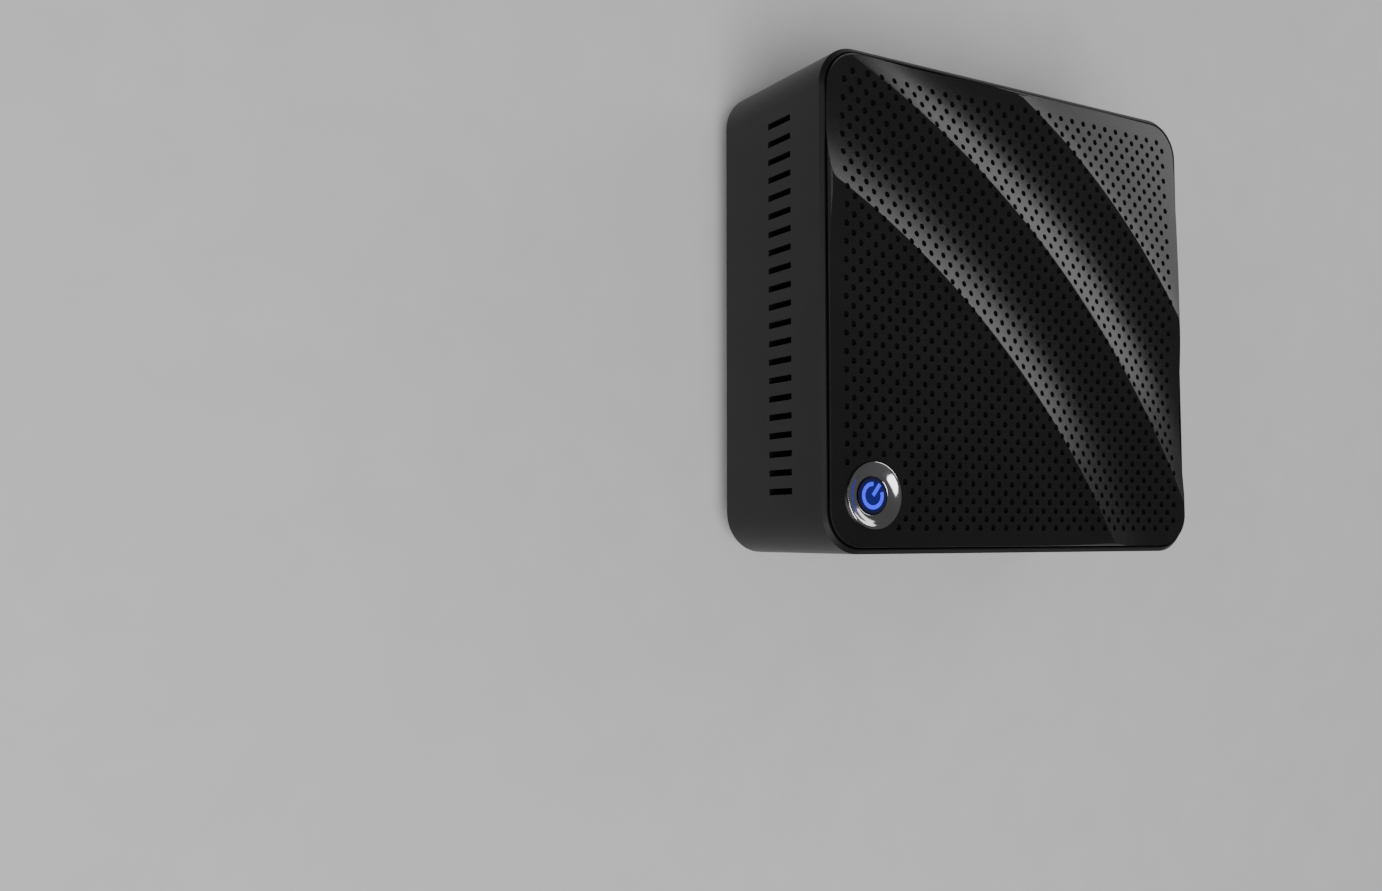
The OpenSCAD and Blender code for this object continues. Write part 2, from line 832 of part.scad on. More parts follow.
module fan_frame() {
    base = 1.0;
    strut_w = 2.4;
    color([0.08, 0.08, 0.09])
        translate([sink_x, sink_y, 0])
            difference() {
                union() {
                    difference() {
                        rounded_block(fan_w, fan_w, 3, sink_z1, fan_z1);
                        cylinder_between(fan_duct_r, sink_z1 - over, fan_z1 + over);
                    }
                    cylinder_between(hub_r - 0.6, sink_z1, sink_z1 + base);
                    for (turn = [45, 135, 225, 315])
                        rotate([0, 0, turn])
                            box(hub_r - 2, fan_duct_r + 1, -strut_w / 2, strut_w / 2, sink_z1,
                                sink_z1 + base);
                    cylinder_between(fan_tube_r, sink_z1, fan_z1 - 2.2);
                }
                cylinder_between(shaft_r + shaft_gap, sink_z1 + 0.6, fan_z1 + over);
                for (x = [-1, 1])
                    for (y = [-1, 1])
                        upright(x * fan_hole, y * fan_hole, m3_r + 0.3, sink_z1 - over, fan_z1 + over);
            }
}

module fan_blade() {
    blade_t = 0.9;
    pitch = 38;
    intersection() {
        translate([0, 0, sink_z1 + 1.6 + (fan_t - 2.4) / 2])
            rotate([pitch, 0, 0])
                box(hub_r - 0.6, blade_r + 2, -6, 6, -blade_t / 2, blade_t / 2);
        difference() {
            cylinder_between(blade_r, sink_z1 + 1.6, fan_z1 - 0.8);
            cylinder_between(hub_r - hub_wall / 2, sink_z1, fan_z1);
        }
    }
}

module fan_rotor() {
    color([0.1, 0.1, 0.11])
        translate([sink_x, sink_y, 0])
            union() {
                difference() {
                    cylinder_between(hub_r, sink_z1 + 1.6, fan_z1 - 0.4);
                    cylinder_between(hub_r - hub_wall, sink_z1 + 1, fan_z1 - 0.4 - hub_wall);
                }
                cylinder_between(shaft_r, sink_z1 + 0.8, fan_z1 - 0.4 - hub_wall + eps);
                for (i = [0 : blade_count - 1])
                    rotate([0, 0, i * 360 / blade_count])
                        fan_blade();
            }
}

module fan_screws() {
    color([0.6, 0.6, 0.62])
        for (x = [-1, 1])
            for (y = [-1, 1])
                translate([sink_x + x * fan_hole, sink_y + y * fan_hole, 0])
                    screw(m3_head_r, 1.4, m3_r, fan_z1, sink_z1 - 4.4, true);
}

module board_chips() {
    color([0.06, 0.06, 0.07]) {
        centred_box(chip_x, 24, 12, 12, board_z1, board_z1 + 1.2);
        centred_box(chip_x, 8, 8, 8, board_z1, board_z1 + 1.0);
        centred_box(chip_x - 2, -34, 9, 9, board_z1, board_z1 + 1.0);
        centred_box(choke_x, 20, 6, 8, board_z1, board_z1 + 1.4);
    }
}

module board_chokes() {
    color([0.3, 0.3, 0.32])
        for (y = [-22 : 9 : 5])
            centred_box(choke_x, y, 7, 7, board_z1, board_z1 + 3.2);
}

module board_capacitors() {
    color([0.62, 0.63, 0.66])
        for (x = [-30, -22, -14, 4])
            upright(x, capacitor_y, 2.9, board_z1, board_z1 + 6.0);
}

module memory_socket() {
    socket_w = 70;
    arm_w = 1.8;
    color([0.08, 0.08, 0.09])
        difference() {
            union() {
                box(-socket_w / 2, socket_w / 2, -47, -40.6, board_z0 - 4.0, board_z0);
                for (side = [-1, 1])
                    centred_box(side * (socket_w / 2 + arm_w / 2), -31, arm_w, 32, board_z0 - 3.4,
                        board_z0);
            }
            box(-memory_l / 2 - 0.2, memory_l / 2 + 0.2, memory_y - 0.2, -40, memory_z - fit,
                memory_z + memory_t + fit);
        }
}

module memory_module() {
    color([0.04, 0.2, 0.12])
        box(-memory_l / 2, memory_l / 2, memory_y, memory_y + memory_d, memory_z, memory_z + memory_t);
}

module memory_chips() {
    color([0.06, 0.06, 0.07])
        for (x = [-24.75 : 16.5 : 24.75])
            centred_box(x, memory_y + 17.4, 11, 13, memory_z - 1.0, memory_z);
}

// Edge socket of a card that lies along +X
module card_socket(x, y) {
    difference() {
        box(x - 4.6, x + 4.0, y - 11, y + 11, drive_z1 + socket_gap, board_z0);
        box(x - fit, x + 5, y - 12, y + 12, card_z - fit, card_z + card_t + fit);
    }
}

module card(x, y, l) {
    difference() {
        box(x, x + l, y - 10.8, y + 10.8, card_z, card_z + card_t);
        upright(x + l, y, 2.3, card_z - over, card_z + card_t + over);
    }
}

module storage_socket() {
    color([0.09, 0.09, 0.1])
        card_socket(storage_x, storage_y);
}

module storage_card() {
    color([0.04, 0.2, 0.12])
        card(storage_x, storage_y, storage_l);
}

module storage_chips() {
    color([0.06, 0.06, 0.07])
        for (x = [16, 36, 56])
            centred_box(storage_x + x, storage_y, 14, 16, card_z - 1.1, card_z);
}

module wireless_socket() {
    color([0.09, 0.09, 0.1])
        card_socket(wireless_x, wireless_y);
}

module wireless_card() {
    color([0.04, 0.2, 0.12])
        card(wireless_x, wireless_y, wireless_l);
}

module card_screws() {
    color([0.6, 0.6, 0.62])
        for (p = [[storage_x + storage_l, storage_y], [wireless_x + wireless_l, wireless_y]])
            translate([p[0], p[1], 0])
                union() {
                    cylinder_between(2.75, card_z - 0.8, card_z);
                    cylinder_between(1.9, card_z - eps, board_z0);
                    cylinder_between(2.75, card_z + card_t, board_z0);
                }
}

module antennas() {
    color([0.15, 0.13, 0.1])
        for (side = [-1, 1])
            mirror([side < 0 ? 1 : 0, 0, 0])
                box(antenna_x - antenna_t, antenna_x, -antenna_l / 2, antenna_l / 2, antenna_z0,
                    antenna_z0 + antenna_h);
}

// Point on the smooth curve through p1 and p2, between its neighbours p0 and p3
function curve_point(p0, p1, p2, p3, t) = 0.5 * (
    2 * p1 + (p2 - p0) * t + (2 * p0 - 5 * p1 + 4 * p2 - p3) * t * t
    + (3 * p1 - p0 - 3 * p2 + p3) * t * t * t
);

function smooth_route(p, steps) = concat(
    [for (i = [0 : len(p) - 2], k = [0 : steps - 1])
        curve_point(p[max(i - 1, 0)], p[i], p[i + 1], p[min(i + 2, len(p) - 1)], k / steps)],
    [p[len(p) - 1]]
);

function unit(v) = v / norm(v);

// Round lead swept along a smooth curve through the points
module lead(points, r) {
    sides = 8;
    route = smooth_route(points, 4);
    last = len(route) - 1;
    rings = [for (i = [0 : last])
        let (
            along = unit(route[min(i + 1, last)] - route[max(i - 1, 0)]),
            across = unit(cross(along, [0.31, 0.17, 0.93])),
            third = cross(along, across)
        )
        for (k = [0 : sides - 1])
            route[i] + r * (cos(k * 360 / sides) * across + sin(k * 360 / sides) * third)];
    walls = [for (i = [0 : last - 1], k = [0 : sides - 1])
        [i * sides + k, (i + 1) * sides + k, (i + 1) * sides + (k + 1) % sides,
            i * sides + (k + 1) % sides]];
    start_cap = [for (k = [0 : sides - 1]) k];
    end_cap = [for (k = [sides - 1 : -1 : 0]) last * sides + k];
    polyhedron(rings, concat([start_cap], walls, [end_cap]), convexity = 6);
}

module antenna_leads() {
    lead_r = 0.6;
    gap_x = (board_w / 2 + in_w / 2) / 2;
    low = card_z - 0.9;
    top = antenna_z0 + antenna_h / 2;
    color([0.2, 0.2, 0.21]) {
        lead([
            [wireless_x + 12, wireless_y + 6, low], [wireless_x + 22, wireless_y + 9, low],
            [gap_x - 6, 34, low], [gap_x, 30, low + 3], [gap_x, 27, board_z1 + 4], [gap_x, 14, top - 4],
            [antenna_x - antenna_t - lead_r - 0.4, 8, top], [antenna_x - antenna_t - lead_r, 2, top]
        ], lead_r);
        lead([
            [wireless_x + 12, wireless_y - 6, low], [wireless_x + 5, wireless_y - 12.6, low],
            [wireless_x - 6, wireless_y - 12.6, low], [wireless_x - 16, wireless_y - 6, low],
            [6 - gap_x, 30, low], [-gap_x, 28, low + 3], [-gap_x, 25, board_z1 + 4],
            [-gap_x, 14, top - 4], [antenna_t + lead_r + 0.4 - antenna_x, 8, top],
            [antenna_t + lead_r - antenna_x, 2, top]
        ], lead_r);
    }
}

module coin_cell() {
    color([0.78, 0.79, 0.8])
        upright(cell_x, cell_y, cell_r, board_z1 + cell_lift, board_z1 + 4.0);
}

module cell_holder() {
    color([0.1, 0.1, 0.11])
        difference() {
            upright(cell_x, cell_y, cell_r + 1.4, board_z1, board_z1 + 3.4);
            upright(cell_x, cell_y, cell_r + fit, board_z1 + cell_lift, board_z1 + 5);
            centred_box(cell_x, cell_y + cell_r, 8, 4 + 2 * over, board_z1 + cell_lift, board_z1 + 5);
        }
}

module drive_tray() {
    tray_y = drive_w / 2 + 0.3;
    tray_x0 = drive_x - drive_l / 2 + 2;
    tray_x1 = drive_x + drive_l / 2 - 2;
    color([0.6, 0.61, 0.63])
        difference() {
            union() {
                box(tray_x0, tray_x1, -tray_y - tray_t, tray_y + tray_t, plate_top, plate_top + tray_t);
                for (side = [-1, 1])
                    mirror([0, side < 0 ? 1 : 0, 0])
                        box(tray_x0, tray_x1, tray_y, tray_y + tray_t, plate_top, drive_z1 - 0.6);
            }
            box(tray_x0 + 12, tray_x1 - 12, -tray_y + 9, tray_y - 9, plate_top - over,
                plate_top + tray_t + over);
            for (x = [drive_hole_a, drive_hole_b])
                along_y(drive_x - drive_l / 2 + x, drive_z0 + drive_hole_z, m3_r + 0.15,
                    -tray_y - 2, tray_y + 2);
        }
}

module drive_case() {
    color([0.5, 0.51, 0.54])
        difference() {
            centred_box(drive_x, 0, drive_l, drive_w, drive_z0, drive_z1);
            for (x = [drive_hole_a, drive_hole_b])
                for (side = [-1, 1])
                    mirror([0, side < 0 ? 1 : 0, 0])
                        along_y(drive_x - drive_l / 2 + x, drive_z0 + drive_hole_z, m3_r + thread_gap,
                            drive_w / 2 - 3.5, drive_w / 2 + over);
        }
}

module drive_screws() {
    seat_y = drive_w / 2 + 0.3 + tray_t;
    color([0.6, 0.6, 0.62])
        for (x = [drive_hole_a, drive_hole_b])
            for (side = [-1, 1])
                mirror([0, side < 0 ? 1 : 0, 0])
                    union() {
                        along_y(drive_x - drive_l / 2 + x, drive_z0 + drive_hole_z, m3_r,
                            drive_w / 2 - 3, seat_y + eps);
                        along_y(drive_x - drive_l / 2 + x, drive_z0 + drive_hole_z, m3_head_r - 0.2,
                            seat_y, seat_y + 1.2);
                    }
}

module drive_plug() {
    color([0.07, 0.07, 0.08])
        box(plug_x0, plug_x1, plug_y - plug_w / 2, plug_y + plug_w / 2, drive_z0 + 1, drive_z0 + 5.6);
}

module drive_lead() {
    y0 = lead_y - lead_w / 2;
    y1 = lead_y + lead_w / 2;
    color([0.85, 0.85, 0.82])
        union() {
            box(plug_x1, lead_x + lead_t, y0, y1, lead_z, lead_z + lead_t);
            box(lead_x, lead_x + lead_t, y0, y1, lead_z, lead_top);
            box(header_x, lead_x + lead_t, y0, y1, lead_top - lead_t, lead_top);
        }
}

module drive_header() {
    color([0.85, 0.8, 0.7])
        centred_box(header_x - header_w / 2, lead_y, header_w, lead_w + 2, board_z1, lead_top + 0.6);
}

// Metal sleeve of a port, open towards +Y at y1, closed at y0
module port_sleeve(x, z, w, h, y0, y1) {
    difference() {
        centred_box(x, (y0 + y1) / 2, w, y1 - y0, z, z + h);
        centred_box(x, (y0 + y1) / 2 + sheet, w - 2 * sheet, y1 - y0, z + sheet, z + h - sheet);
    }
}

module port_tongue(x, z, w, h, y0, y1) {
    centred_box(x, (y0 + y1) / 2, w, y1 - y0, z, z + h);
}

module front_usb_shells() {
    color([0.7, 0.71, 0.73])
        mirror([0, 1, 0])
            for (x = front_usb_x) {
                port_sleeve(x, usb_z, usb_w, usb_h, port_y - usb_l, port_y);
                for (side = [-1, 1])
                    centred_box(x + side * (usb_w / 2 - 0.4), port_y - usb_l / 2 - 3, 0.8, 5, board_z1,
                        usb_z + eps);
            }
}

module front_usb_tongues() {
    color([0.08, 0.25, 0.75])
        mirror([0, 1, 0])
            for (x = front_usb_x)
                port_tongue(x, usb_z + usb_h - sheet - tongue_drop, tongue_w, tongue_t,
                    port_y - usb_l + sheet, port_y - tongue_below);
}

module rear_usb_shell() {
    color([0.7, 0.71, 0.73])
        difference() {
            centred_box(usb_stack_x, port_y - stack_l / 2, stack_w, stack_l, board_z1,
                board_z1 + stack_h);
            for (level = [0, 1])
                centred_box(usb_stack_x, port_y - 6, usb_open_w, 14, stack_port_z(level),
                    stack_port_z(level) + usb_open_h);
        }
}

function stack_port_z(level) = board_z1 + stack_first + level * stack_step;

module rear_usb_tongues() {
    color([0.08, 0.25, 0.75])
        for (level = [0, 1])
            port_tongue(usb_stack_x, stack_port_z(level) + usb_open_h - tongue_drop, tongue_w, tongue_t,
                port_y - 13, port_y - tongue_below);
}

module video_shells() {
    color([0.7, 0.71, 0.73])
        for (x = video_x) {
            difference() {
                port_sleeve(x, video_z, video_w, video_h, port_y - video_l, port_y);
                for (side = [-1, 1])
                    translate([x + side * video_w / 2, port_y - video_l / 2, video_z])
                        rotate([0, side * 45, 0])
                            cube([1.4, video_l + 2, 3.2], center = true);
            }
            for (side = [-1, 1])
                centred_box(x + side * (video_w / 2 - 2.2), port_y - video_l / 2 - 2, 0.8, 4, board_z1,
                    video_z + sheet);
        }
}

module video_tongues() {
    color([0.06, 0.06, 0.07])
        for (x = video_x)
            port_tongue(x, video_z + 2.1, 10.6, 1.3, port_y - video_l + sheet, port_y - 1.6);
}

module lan_shell() {
    color([0.7, 0.71, 0.73])
        difference() {
            centred_box(lan_x, port_y - lan_l / 2, lan_w, lan_l, board_z1, board_z1 + lan_h);
            centred_box(lan_x, port_y - 6, lan_cavity_w, 14, lan_cavity_z, lan_cavity_z + lan_cavity_h);
            centred_box(lan_x, port_y - 3, 4.4, 8, lan_cavity_z + lan_cavity_h - eps,
                lan_cavity_z + lan_cavity_h + 1.6);
        }
}

module lan_contacts() {
    wire = 0.45;
    pitch = 1.02;
    color([0.83, 0.68, 0.3])
        for (i = [0 : 7])
            centred_box(lan_x + (i - 3.5) * pitch, port_y - 8.5, wire, 9, lan_cavity_z,
                lan_cavity_z + 1.2);
}

module power_inlet() {
    color([0.05, 0.05, 0.055])
        difference() {
            union() {
                box(inlet_x - inlet_w / 2, inlet_x + inlet_w / 2, port_y - inlet_l, wall_y - 1.2,
                    board_z1, board_z1 + inlet_h);
                along_y(inlet_x, inlet_z, inlet_r + inlet_ring_t, wall_y - 2, port_y);
            }
            along_y(inlet_x, inlet_z, inlet_r, port_y - inlet_depth, port_y + over);
            along_y(inlet_x, inlet_z, pin_root_r + thread_gap, port_y - inlet_depth - pin_root_l,
                port_y - inlet_depth + eps);
        }
}

module inlet_pin() {
    color([0.83, 0.83, 0.8])
        union() {
            along_y(inlet_x, inlet_z, pin_root_r, port_y - inlet_depth - pin_root_l,
                port_y - inlet_depth);
            along_y(inlet_x, inlet_z, inlet_pin_r, port_y - inlet_depth - eps, port_y - pin_below);
        }
}

module audio_socket() {
    color([0.05, 0.05, 0.055])
        mirror([0, 1, 0])
            difference() {
                union() {
                    box(audio_x - audio_w / 2, audio_x + audio_w / 2, port_y - audio_l, wall_y - 1.2,
                        board_z1, board_z1 + audio_h);
                    along_y(audio_x, audio_z, audio_r + audio_ring_t, wall_y - 2, port_y);
                }
                along_y(audio_x, audio_z, audio_r, port_y - audio_l + 1, port_y + over);
            }
}

body_shell();
top_cover();
front_panel();
rear_panel();
bottom_plate();
rubber_feet();
bottom_screws();
corner_inserts();
bracket_bushings();
lock_plate();
infrared_window();
button_ring();
power_button();
button_symbol();
switch_body();
switch_plunger();
button_board();
main_board();
board_screws();
processor_base();
processor_die();
heat_sink();
heat_sink_screws();
fan_frame();
fan_rotor();
fan_screws();
board_chips();
board_chokes();
board_capacitors();
memory_socket();
memory_module();
memory_chips();
storage_socket();
storage_card();
storage_chips();
wireless_socket();
wireless_card();
card_screws();
antennas();
antenna_leads();
coin_cell();
cell_holder();
drive_tray();
drive_case();
drive_screws();
drive_plug();
drive_lead();
drive_header();
front_usb_shells();
front_usb_tongues();
rear_usb_shell();
rear_usb_tongues();
video_shells();
video_tongues();
lan_shell();
lan_contacts();
power_inlet();
inlet_pin();
audio_socket();
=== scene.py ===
"""Small square mini computer with a fluted, dimpled cover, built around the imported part."""

import math

import bmesh
import bpy
from bpy.props import FloatProperty, FloatVectorProperty, PointerProperty
from mathutils import Matrix, Vector
from mathutils.bvhtree import BVHTree


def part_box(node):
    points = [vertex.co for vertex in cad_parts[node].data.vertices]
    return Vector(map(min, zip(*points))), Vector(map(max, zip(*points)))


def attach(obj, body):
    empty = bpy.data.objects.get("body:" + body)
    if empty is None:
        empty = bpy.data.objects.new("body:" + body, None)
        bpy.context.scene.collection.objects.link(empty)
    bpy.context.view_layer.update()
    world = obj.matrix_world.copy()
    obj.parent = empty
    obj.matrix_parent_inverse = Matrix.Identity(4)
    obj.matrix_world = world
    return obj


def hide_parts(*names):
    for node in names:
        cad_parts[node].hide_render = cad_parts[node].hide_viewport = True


bl_info = {
    "name": "Mini computer",
    "version": (1, 0, 0),
    "blender": (4, 5, 0),
    "location": "View3D > Sidebar > Mini computer",
    "description": "Builds the looks of a small square mini computer",
    "category": "Object",
}

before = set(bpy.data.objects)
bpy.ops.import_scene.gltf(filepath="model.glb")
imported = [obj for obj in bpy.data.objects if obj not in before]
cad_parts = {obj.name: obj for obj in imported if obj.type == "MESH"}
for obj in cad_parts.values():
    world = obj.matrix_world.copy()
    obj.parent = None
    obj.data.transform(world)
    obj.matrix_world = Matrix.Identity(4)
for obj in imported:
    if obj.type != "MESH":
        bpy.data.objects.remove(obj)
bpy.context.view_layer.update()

MM = 0.001
FULL_TURN = 2 * math.pi


def span(node):
    """Lowest and highest corner of a CAD node in millimetres."""
    low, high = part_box(node)
    return low / MM, high / MM


SHELL_LOW, SHELL_HIGH = span("body_shell")
COVER_LOW, COVER_HIGH = span("top_cover")
RING_LOW, RING_HIGH = span("button_ring")
BUTTON_X = (RING_LOW.x + RING_HIGH.x) / 2
BUTTON_Y = (RING_LOW.y + RING_HIGH.y) / 2
RIM_Z = COVER_HIGH.z

# Sizes that the cover and the ring share, in millimetres
COVER_CORNER = 8.1
COVER_SKIRT = 2.0
RING_OUTER = (RING_HIGH.x - RING_LOW.x) / 2
RING_SEAT_DEPTH = 1.1
RING_BARREL_STEP = 0.8
RING_SEAT_GAP = 0.05
CAP_OPENING = 4.2


# ---------------------------------------------------------------- sizes and colours


class CoverSizes(bpy.types.PropertyGroup):
    flute_depth: FloatProperty(
        name="Flute depth",
        description="Depth of the flutes below the ridges",
        default=0.0018,
        unit="LENGTH",
    )
    border: FloatProperty(
        name="Border",
        description="Width of the smooth border around the dimples",
        default=0.0022,
        unit="LENGTH",
    )
    edge_round: FloatProperty(
        name="Edge rounding",
        description="Rounding of the upper edge of the cover",
        default=0.0015,
        unit="LENGTH",
    )
    dimple_pitch: FloatProperty(
        name="Dimple pitch",
        description="Distance between the staggered rows of dimples",
        default=0.002,
        unit="LENGTH",
    )
    dimple_radius: FloatProperty(
        name="Dimple radius",
        description="Radius of a dimple at the surface",
        default=0.00072,
        unit="LENGTH",
    )
    dimple_depth: FloatProperty(
        name="Dimple depth",
        description="Depth of a dimple",
        default=0.0009,
        unit="LENGTH",
    )


class ButtonSizes(bpy.types.PropertyGroup):
    dish_depth: FloatProperty(
        name="Dish depth",
        description="Depth of the dished ring below its rim",
        default=0.00105,
        unit="LENGTH",
    )


class Tones(bpy.types.PropertyGroup):
    shell: FloatVectorProperty(
        name="Body",
        description="Colour of the body ring",
        default=(0.0055, 0.0055, 0.006),
        size=3,
        subtype="COLOR",
    )
    cover: FloatVectorProperty(
        name="Cover",
        description="Colour of the dimpled cover",
        default=(0.0045, 0.0045, 0.005),
        size=3,
        subtype="COLOR",
    )
    symbol: FloatVectorProperty(
        name="Symbol light",
        description="Colour of the lit power symbol",
        default=(0.02, 0.022, 1.0),
        size=3,
        subtype="COLOR",
    )
    board: FloatVectorProperty(
        name="Circuit board",
        description="Colour of the circuit boards",
        default=(0.012, 0.07, 0.04),
        size=3,
        subtype="COLOR",
    )
    floor: FloatVectorProperty(
        name="Floor",
        description="Colour of the floor",
        default=(0.62, 0.62, 0.63),
        size=3,
        subtype="COLOR",
    )


class StageSizes(bpy.types.PropertyGroup):
    lens: FloatProperty(
        name="Lens", description="Focal length in millimetres", default=33.25
    )
    floor_radius: FloatProperty(
        name="Floor radius",
        description="Radius of the floor",
        default=4.0,
        unit="LENGTH",
    )
    key_power: FloatProperty(
        name="Key light",
        description="Power of the light that the flutes catch, in watts",
        default=1.15,
    )
    fill_power: FloatProperty(
        name="Fill light",
        description="Power of the light on the floor, in watts",
        default=26.0,
    )
    side_power: FloatProperty(
        name="Side light",
        description="Power of the light on the left, in watts",
        default=0.9,
    )
    sky: FloatProperty(
        name="Sky", description="Strength of the light from all round", default=0.13
    )


# ---------------------------------------------------------------- finishes


def add_node(tree, kind, **values):
    node = tree.nodes.new(kind)
    for key, value in values.items():
        setattr(node, key, value)
    return node


def start_material(name):
    """An empty principled material, its tree and its shader."""
    material = bpy.data.materials.new(name)
    material.use_nodes = True
    tree = material.node_tree
    return material, tree, tree.nodes["Principled BSDF"]


def object_noise(tree, size_mm, detail=2.0, stretch=(1, 1, 1)):
    """Noise on object coordinates whose grains are about size_mm across."""
    where = add_node(tree, "ShaderNodeTexCoord")
    mapping = add_node(tree, "ShaderNodeMapping")
    mapping.inputs["Scale"].default_value = stretch
    noise = add_node(tree, "ShaderNodeTexNoise")
    noise.inputs["Scale"].default_value = 1 / (size_mm * MM)
    noise.inputs["Detail"].default_value = detail
    tree.links.new(where.outputs["Object"], mapping.inputs["Vector"])
    tree.links.new(mapping.outputs["Vector"], noise.inputs["Vector"])
    return noise.outputs["Fac"]


def tone_between(tree, factor, low, high, dark, light):
    """Colour that goes from dark to light as factor goes from low to high."""
    ramp = add_node(tree, "ShaderNodeValToRGB")
    ramp.color_ramp.elements[0].position = low
    ramp.color_ramp.elements[0].color = (*dark, 1)
    ramp.color_ramp.elements[1].position = high
    ramp.color_ramp.elements[1].color = (*light, 1)
    tree.links.new(factor, ramp.inputs["Fac"])
    return ramp.outputs["Color"]


def value_between(tree, factor, low, high, smallest, largest):
    """Number that goes from smallest to largest as factor goes from low to high."""
    spread = add_node(tree, "ShaderNodeMapRange")
    for key, value in (
        ("From Min", low),
        ("From Max", high),
        ("To Min", smallest),
        ("To Max", largest),
    ):
        spread.inputs[key].default_value = value
    tree.links.new(factor, spread.inputs["Value"])
    return spread.outputs["Result"]


def add_bump(tree, shader, height, depth_mm, strength=1.0):
    bump = add_node(tree, "ShaderNodeBump")
    bump.inputs["Strength"].default_value = strength
    bump.inputs["Distance"].default_value = depth_mm * MM
    tree.links.new(height, bump.inputs["Height"])
    tree.links.new(bump.outputs["Normal"], shader.inputs["Normal"])


def surface(
    name,
    tone,
    roughness,
    grain_mm=0.25,
    grain_depth=0.01,
    spread=0.12,
    rough_spread=0.06,
    metallic=0.0,
    coat=0.0,
    specular=0.5,
    stretch=(1, 1, 1),
):
    """Solid finish with a fine grain, broad clouds of tone and uneven gloss."""
    material, tree, shader = start_material(name)
    clouds = object_noise(tree, 14, 4)
    grain = object_noise(tree, grain_mm, 2, stretch)
    dark = [c * (1 - spread) for c in tone]
    light = [min(1, c * (1 + spread)) for c in tone]
    tree.links.new(
        tone_between(tree, clouds, 0.35, 0.65, dark, light),
        shader.inputs["Base Color"],
    )
    tree.links.new(
        value_between(
            tree, grain, 0.3, 0.7, roughness - rough_spread, roughness + rough_spread
        ),
        shader.inputs["Roughness"],
    )
    add_bump(tree, shader, grain, grain_depth)
    shader.inputs["Metallic"].default_value = metallic
    shader.inputs["Specular IOR Level"].default_value = specular
    shader.inputs["Coat Weight"].default_value = coat
    return material


def lit_symbol(name, tone):
    """Blue light through a diffuser, a little uneven in brightness in small clouds."""
    material, tree, shader = start_material(name)
    cloud = object_noise(tree, 0.8, 2)
    shader.inputs["Base Color"].default_value = (*tone, 1)
    shader.inputs["Emission Color"].default_value = (*tone, 1)
    tree.links.new(
        value_between(tree, cloud, 0.3, 0.7, 0.8, 1.1),
        shader.inputs["Emission Strength"],
    )
    tree.links.new(
        value_between(tree, cloud, 0.3, 0.7, 0.3, 0.45), shader.inputs["Roughness"]
    )
    return material


def add_glow(material, tone, near_mm, far_mm, strength):
    """Painted glow of the symbol's light on the cap around it, from near_mm to far_mm off its
    middle.
    """
    tree = material.node_tree
    shader = tree.nodes["Principled BSDF"]
    where = add_node(tree, "ShaderNodeTexCoord")
    flat = add_node(tree, "ShaderNodeVectorMath", operation="MULTIPLY")
    flat.inputs[1].default_value = (1, 1, 0)
    away = add_node(tree, "ShaderNodeVectorMath", operation="DISTANCE")
    away.inputs[1].default_value = (BUTTON_X * MM, BUTTON_Y * MM, 0)
    tree.links.new(where.outputs["Object"], flat.inputs[0])
    tree.links.new(flat.outputs["Vector"], away.inputs[0])
    shader.inputs["Emission Color"].default_value = (*tone, 1)
    tree.links.new(
        value_between(
            tree, away.outputs["Value"], near_mm * MM, far_mm * MM, strength, 0.0
        ),
        shader.inputs["Emission Strength"],
    )


def circuit_board(name, tone):
    """Solder mask with a grid of tracks of the board showing through."""
    material, tree, shader = start_material(name)
    where = add_node(tree, "ShaderNodeTexCoord")
    tracks = add_node(tree, "ShaderNodeTexBrick")
    tracks.inputs["Scale"].default_value = 260
    tracks.inputs["Mortar Size"].default_value = 0.03
    tracks.inputs["Color1"].default_value = (*tone, 1)
    tracks.inputs["Color2"].default_value = (*[c * 0.8 for c in tone], 1)
    tracks.inputs["Mortar"].default_value = (*[c * 1.9 for c in tone], 1)
    tree.links.new(where.outputs["Object"], tracks.inputs["Vector"])
    tree.links.new(tracks.outputs["Color"], shader.inputs["Base Color"])
    weave = object_noise(tree, 0.5, 2)
    tree.links.new(
        value_between(tree, weave, 0.3, 0.7, 0.28, 0.42), shader.inputs["Roughness"]
    )
    add_bump(tree, shader, tracks.outputs["Fac"], 0.02, 0.6)
    return material


GREY_STEEL = (0.5, 0.5, 0.52)

